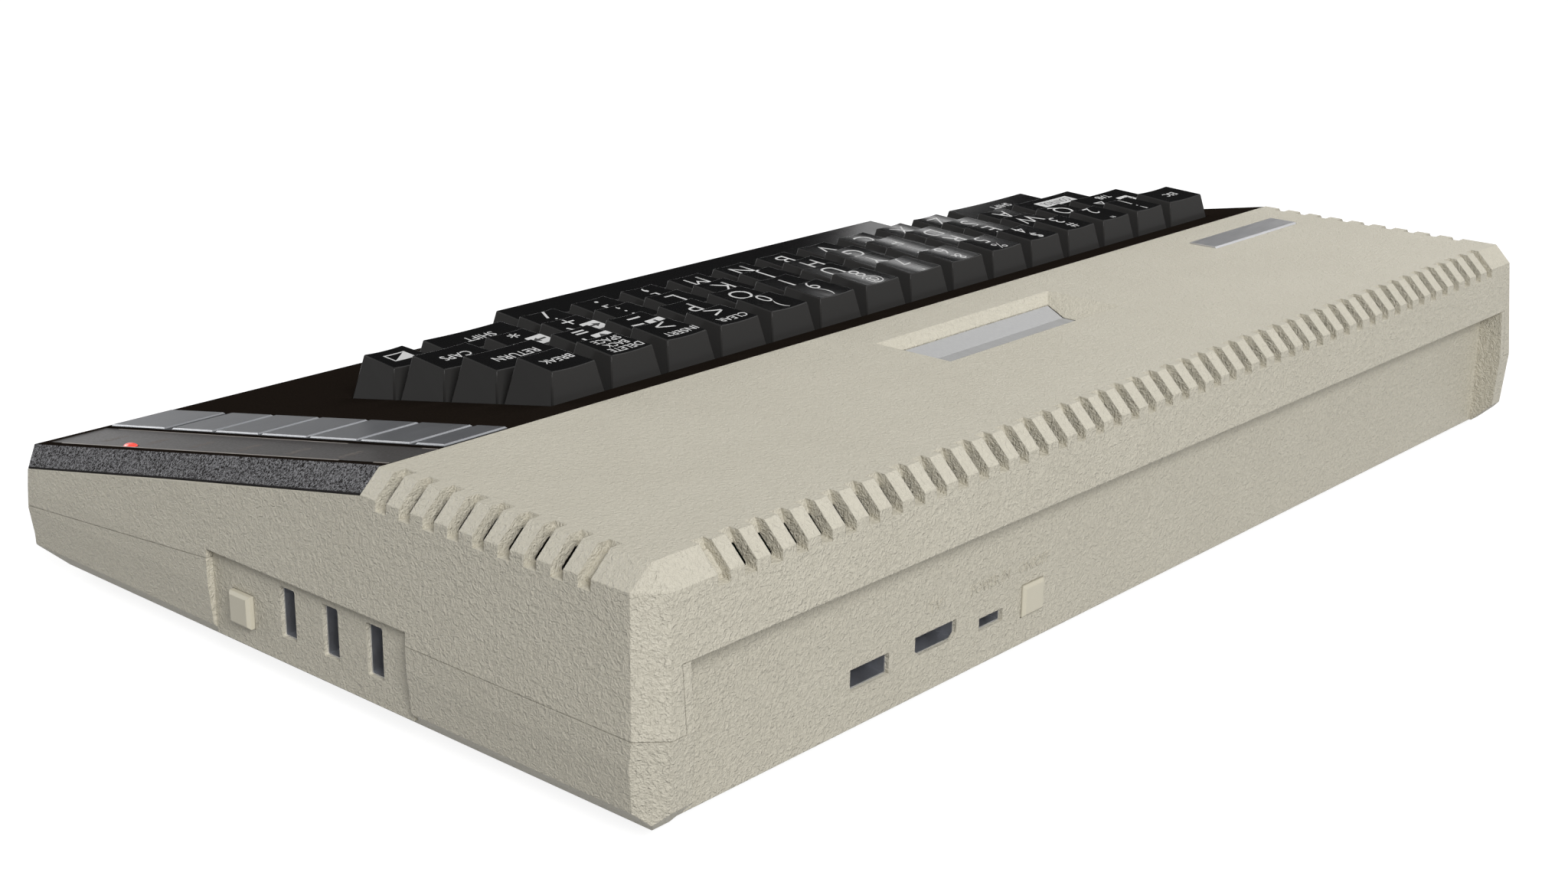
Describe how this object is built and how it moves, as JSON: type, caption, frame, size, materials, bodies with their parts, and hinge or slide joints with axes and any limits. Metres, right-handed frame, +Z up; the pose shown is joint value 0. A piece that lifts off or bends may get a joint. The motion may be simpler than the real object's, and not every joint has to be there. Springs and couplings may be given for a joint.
{
  "type": "home computer",
  "caption": "Wedge-shaped one-piece home computer with a full keyboard, silver console keys, a cartridge bay under two sprung doors, and sockets at the side and rear.",
  "frame": {"origin": "on the table, at the centre of the object's bounding box seen from above", "axes": "+Z up, +Y towards the rear, +X to the user's right"},
  "size_m": [0.3816, 0.2212, 0.0638],
  "materials": {
    "putty": "warm beige plastic with a fine leather grain",
    "bezel": "brown-black plastic with a very fine grain",
    "cap": "satin black key plastic",
    "label": "glossy dark grey overlay",
    "key_silver": "blue-grey brushed face",
    "door_silver": "bright brushed face",
    "steel": "plain bright steel",
    "inner": "plain black plastic",
    "board": "green circuit board",
    "rubber": "soft grey rubber",
    "lens": "clear red lens",
    "cable": "flexible flat ribbon"
  },
  "bodies": {
    "case": {"upper_shell": "putty", "lower_shell": "putty", "keyboard_bezel": "bezel", "label_strip": "label", "console_end_rear": "key_silver", "console_end_front": "key_silver", "power_lamp": "lens", "nameplate": "door_silver", "console_key_board": "board", "key_guide_frame": "inner", "dome_sheet": "rubber", "keyboard_board": "board", "keyboard_backplate": "steel", "door_pins": "steel", "door_springs": "steel", "cartridge_well": "inner", "cartridge_socket": "inner", "main_board": "board", "board_chips": "inner", "heat_spreader": "steel", "flat_cable": "cable", "power_switch": "inner", "side_switch": "inner", "side_port_board": "board", "side_usb_ports": "steel", "rear_usb_port": "steel", "video_port": "steel", "power_port": "steel", "feet": "rubber", "case_screws": "steel", "board_screws": "steel"},
    "esc": {"esc_key": "cap"},
    "numbers": {"number_keys": "cap"},
    "delete": {"delete_key": "cap"},
    "break": {"break_key": "cap"},
    "tab": {"tab_key": "cap"},
    "upper_row": {"upper_row_keys": "cap"},
    "return": {"return_key": "cap"},
    "control": {"control_key": "cap"},
    "home_row": {"home_row_keys": "cap"},
    "caps": {"caps_key": "cap"},
    "left_shift": {"left_shift_key": "cap"},
    "lower_row": {"lower_row_keys": "cap"},
    "right_shift": {"right_shift_key": "cap"},
    "inverse": {"inverse_key": "cap"},
    "space": {"space_bar": "cap", "space_bar_wire": "steel"},
    "console_help": {"console_key_help": "key_silver"},
    "console_start": {"console_key_start": "key_silver"},
    "console_select": {"console_key_select": "key_silver"},
    "console_option": {"console_key_option": "key_silver"},
    "console_reset": {"console_key_reset": "key_silver"},
    "front_door_body": {"front_door": "door_silver"},
    "rear_door_body": {"rear_door": "door_silver"},
    "power_button_body": {"power_button": "putty"},
    "side_button_body": {"side_button": "putty"}
  },
  "joints": [
    {"name": "esc_press", "type": "slide", "parent": "case", "child": "esc", "axis": [0, -0.1828, 0.9832], "range_m": [-0.0035, 0], "stiffness_N_per_m": 160, "springref_m": 0.002},
    {"name": "numbers_press", "type": "slide", "parent": "case", "child": "numbers", "axis": [0, -0.1828, 0.9832], "range_m": [-0.0035, 0], "stiffness_N_per_m": 160, "springref_m": 0.002},
    {"name": "delete_press", "type": "slide", "parent": "case", "child": "delete", "axis": [0, -0.1828, 0.9832], "range_m": [-0.0035, 0], "stiffness_N_per_m": 160, "springref_m": 0.002},
    {"name": "break_press", "type": "slide", "parent": "case", "child": "break", "axis": [0, -0.1828, 0.9832], "range_m": [-0.0035, 0], "stiffness_N_per_m": 160, "springref_m": 0.002},
    {"name": "tab_press", "type": "slide", "parent": "case", "child": "tab", "axis": [0, -0.1828, 0.9832], "range_m": [-0.0035, 0], "stiffness_N_per_m": 160, "springref_m": 0.002},
    {"name": "upper_row_press", "type": "slide", "parent": "case", "child": "upper_row", "axis": [0, -0.1828, 0.9832], "range_m": [-0.0035, 0], "stiffness_N_per_m": 160, "springref_m": 0.002},
    {"name": "return_press", "type": "slide", "parent": "case", "child": "return", "axis": [0, -0.1828, 0.9832], "range_m": [-0.0035, 0], "stiffness_N_per_m": 160, "springref_m": 0.002},
    {"name": "control_press", "type": "slide", "parent": "case", "child": "control", "axis": [0, -0.1828, 0.9832], "range_m": [-0.0035, 0], "stiffness_N_per_m": 160, "springref_m": 0.002},
    {"name": "home_row_press", "type": "slide", "parent": "case", "child": "home_row", "axis": [0, -0.1828, 0.9832], "range_m": [-0.0035, 0], "stiffness_N_per_m": 160, "springref_m": 0.002},
    {"name": "caps_press", "type": "slide", "parent": "case", "child": "caps", "axis": [0, -0.1828, 0.9832], "range_m": [-0.0035, 0], "stiffness_N_per_m": 160, "springref_m": 0.002},
    {"name": "left_shift_press", "type": "slide", "parent": "case", "child": "left_shift", "axis": [0, -0.1828, 0.9832], "range_m": [-0.0035, 0], "stiffness_N_per_m": 160, "springref_m": 0.002},
    {"name": "lower_row_press", "type": "slide", "parent": "case", "child": "lower_row", "axis": [0, -0.1828, 0.9832], "range_m": [-0.0035, 0], "stiffness_N_per_m": 160, "springref_m": 0.002},
    {"name": "right_shift_press", "type": "slide", "parent": "case", "child": "right_shift", "axis": [0, -0.1828, 0.9832], "range_m": [-0.0035, 0], "stiffness_N_per_m": 160, "springref_m": 0.002},
    {"name": "inverse_press", "type": "slide", "parent": "case", "child": "inverse", "axis": [0, -0.1828, 0.9832], "range_m": [-0.0035, 0], "stiffness_N_per_m": 160, "springref_m": 0.002},
    {"name": "space_press", "type": "slide", "parent": "case", "child": "space", "axis": [0, -0.1828, 0.9832], "range_m": [-0.0035, 0], "stiffness_N_per_m": 160, "springref_m": 0.002, "deforming": ["dome_sheet"]},
    {"name": "console_help_press", "type": "slide", "parent": "case", "child": "console_help", "axis": [0, -0.1828, 0.9832], "range_m": [-0.001, 0], "stiffness_N_per_m": 300, "springref_m": 0.001},
    {"name": "console_start_press", "type": "slide", "parent": "case", "child": "console_start", "axis": [0, -0.1828, 0.9832], "range_m": [-0.001, 0], "stiffness_N_per_m": 300, "springref_m": 0.001},
    {"name": "console_select_press", "type": "slide", "parent": "case", "child": "console_select", "axis": [0, -0.1828, 0.9832], "range_m": [-0.001, 0], "stiffness_N_per_m": 300, "springref_m": 0.001},
    {"name": "console_option_press", "type": "slide", "parent": "case", "child": "console_option", "axis": [0, -0.1828, 0.9832], "range_m": [-0.001, 0], "stiffness_N_per_m": 300, "springref_m": 0.001},
    {"name": "console_reset_press", "type": "slide", "parent": "case", "child": "console_reset", "axis": [0, -0.1828, 0.9832], "range_m": [-0.001, 0], "stiffness_N_per_m": 300, "springref_m": 0.001},
    {"name": "front_door_swing", "type": "hinge", "parent": "case", "child": "front_door_body", "pos_m": [-0.00085, 0.04102, 0.0524], "axis": [-1, 0, 0], "range_deg": [0, 75], "stiffness_Nm_per_rad": 0.01, "springref_deg": -20.05},
    {"name": "rear_door_swing", "type": "hinge", "parent": "case", "child": "rear_door_body", "pos_m": [-0.00085, 0.05882, 0.0524], "axis": [1, 0, 0], "range_deg": [0, 75], "stiffness_Nm_per_rad": 0.01, "springref_deg": -20.05},
    {"name": "power_press", "type": "slide", "parent": "case", "child": "power_button_body", "axis": [0, 1, 0], "range_m": [-0.001, 0], "stiffness_N_per_m": 300, "springref_m": 0.001},
    {"name": "side_press", "type": "slide", "parent": "case", "child": "side_button_body", "axis": [1, 0, 0], "range_m": [-0.001, 0], "stiffness_N_per_m": 300, "springref_m": 0.001}
  ]
}
